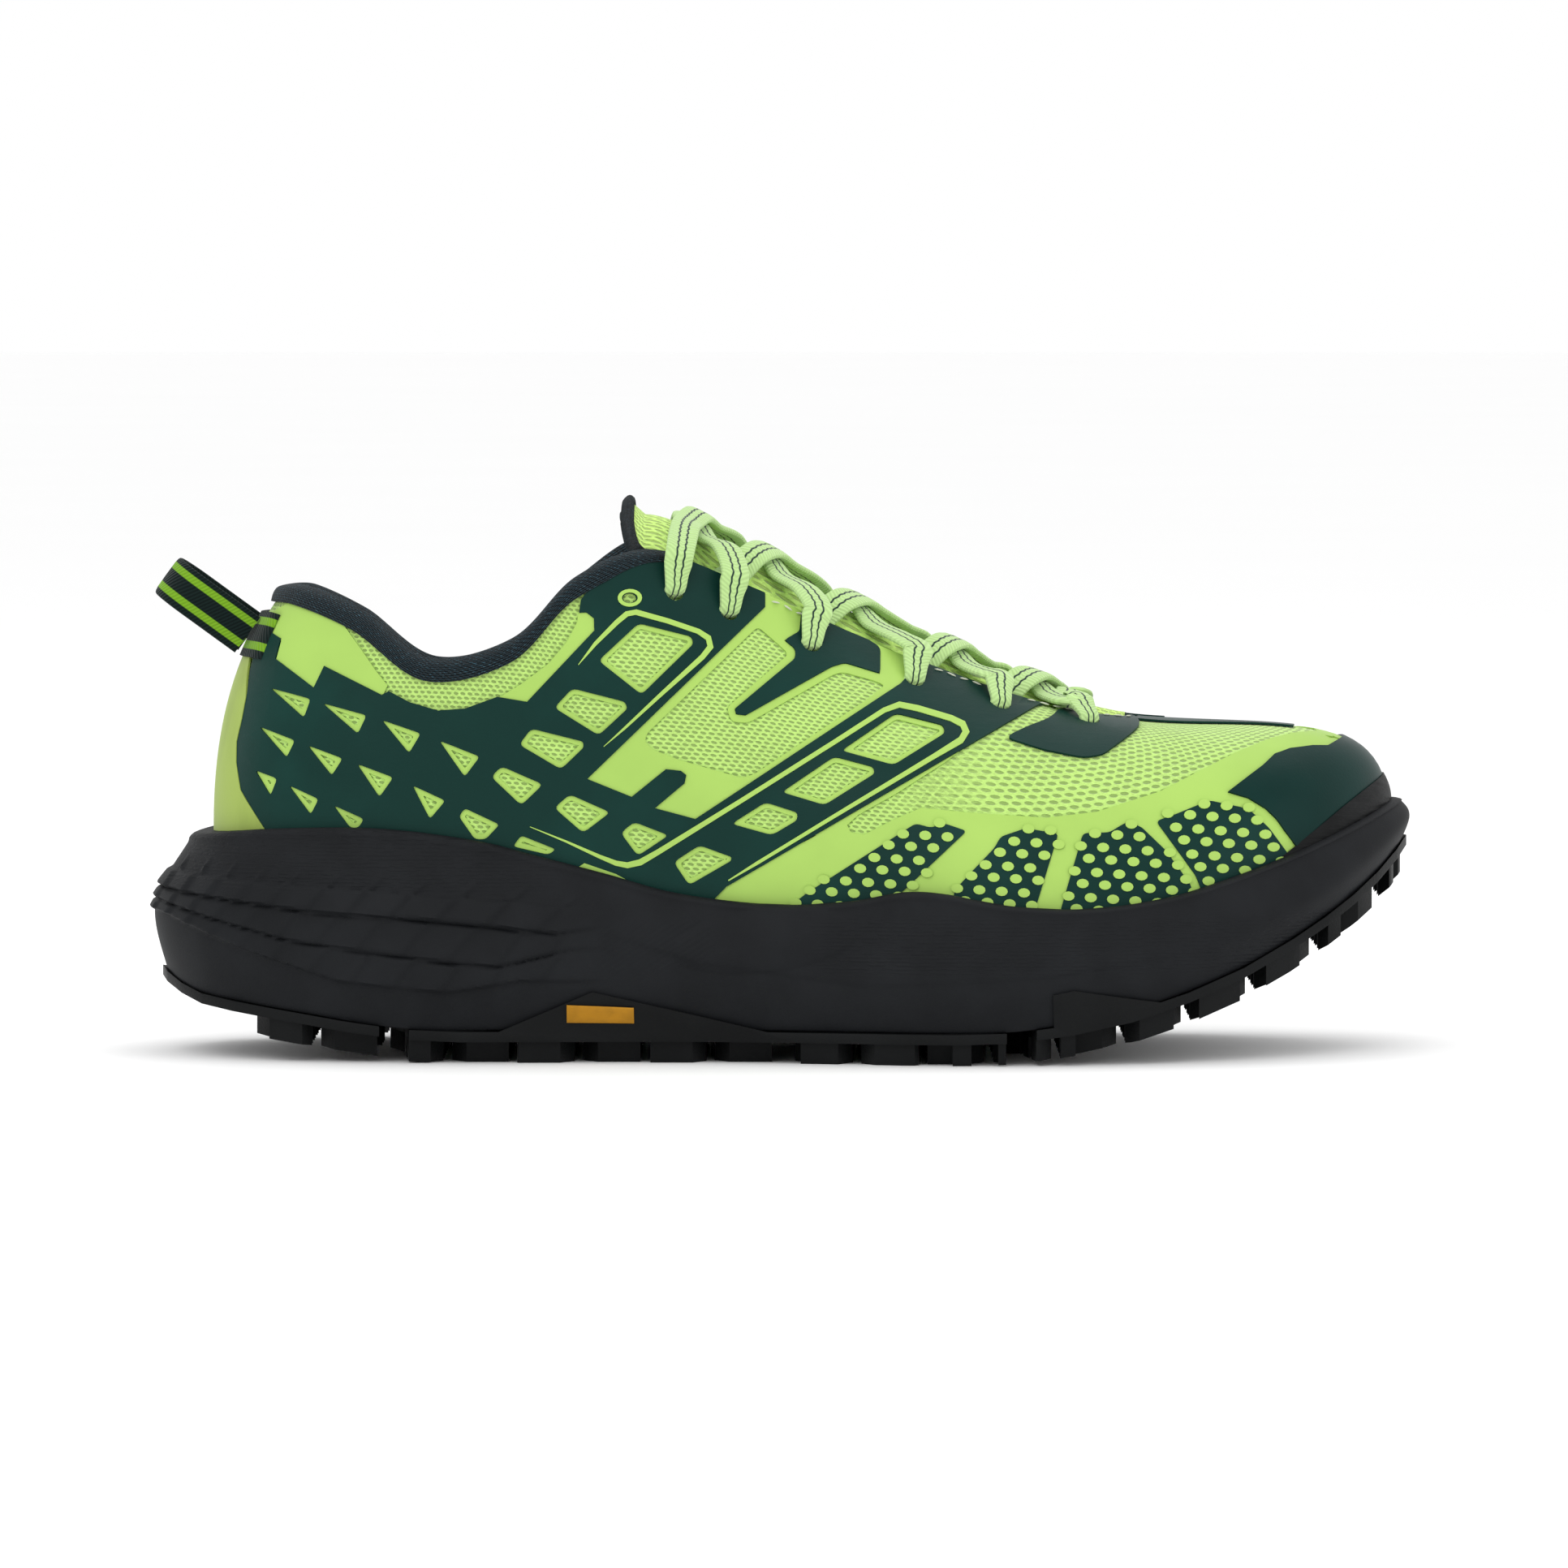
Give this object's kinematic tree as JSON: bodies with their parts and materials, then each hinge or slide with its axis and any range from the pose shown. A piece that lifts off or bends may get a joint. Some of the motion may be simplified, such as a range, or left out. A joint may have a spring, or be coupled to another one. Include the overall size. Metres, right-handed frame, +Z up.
{
  "type": "running shoe",
  "caption": "Right-foot trail running shoe with a thick foam midsole, lugged rubber outsole, padded collar, lace-up tongue and a webbing heel loop.",
  "frame": {"origin": "on the ground under the middle of the shoe's bounding box, lugs standing on z = 0", "axes": "+X towards the toe, +Y towards the medial (inner) side, +Z up; the lateral side faces -Y"},
  "size_m": [0.3002, 0.114, 0.1313],
  "materials": {
    "midsole_foam": "matt moulded foam with fine horizontal texture",
    "outsole_rubber": "matt moulded rubber",
    "bumper_rubber": "satin rubber",
    "badge_plastic": "satin orange",
    "board_fabric": "pale stitched nonwoven",
    "insole_fabric": "brushed knit on foam",
    "upper_mesh_fabric": "open lime mesh",
    "bonded_film": "satin dark green film",
    "toe_film": "satin dark green film",
    "heel_film": "satin olive lime film",
    "stiffener": "thermoplastic sheet",
    "padding": "open-cell foam",
    "lining_knit": "soft dark knit",
    "tongue_mesh": "lime mesh",
    "loop_webbing": "dark woven webbing with two lime stripes",
    "lace_webbing": "flat woven lace, pale lime with dark zigzags",
    "aglet_plastic": "glossy shrink sleeve"
  },
  "bodies": {
    "shoe": {"midsole": "midsole_foam", "outsole_heel": "outsole_rubber", "outsole_midfoot": "outsole_rubber", "outsole_forefoot": "outsole_rubber", "sole_badge": "badge_plastic", "strobel_board": "board_fabric", "insole": "insole_fabric", "upper_mesh": "upper_mesh_fabric", "quarter_film_lateral": "bonded_film", "quarter_film_medial": "bonded_film", "forefoot_film_lateral": "bonded_film", "forefoot_film_medial": "bonded_film", "eyestay_lateral": "bonded_film", "eyestay_medial": "bonded_film", "vamp_spine": "bonded_film", "toe_cap": "toe_film", "toe_bumper": "bumper_rubber", "toe_puff": "stiffener", "heel_panel": "heel_film", "heel_counter": "stiffener", "collar_foam": "padding", "collar_lining": "lining_knit", "lace": "lace_webbing", "aglet_first": "aglet_plastic", "aglet_second": "aglet_plastic"},
    "tongue": {"tongue_face": "tongue_mesh", "tongue_foam": "padding", "tongue_lining": "lining_knit"},
    "loop": {"heel_loop": "loop_webbing"}
  },
  "joints": [
    {"name": "tongue_hinge", "type": "hinge", "parent": "shoe", "child": "tongue", "pos_m": [0.082, 0.0075, 0.077], "axis": [0, -1, 0], "range_deg": [0, 6], "stiffness_Nm_per_rad": 0.6},
    {"name": "loop_hinge", "type": "hinge", "parent": "shoe", "child": "loop", "pos_m": [-0.13119, -0.00076, 0.10221], "axis": [0, 1, 0], "range_deg": [-50, 40], "stiffness_Nm_per_rad": 0.02}
  ]
}
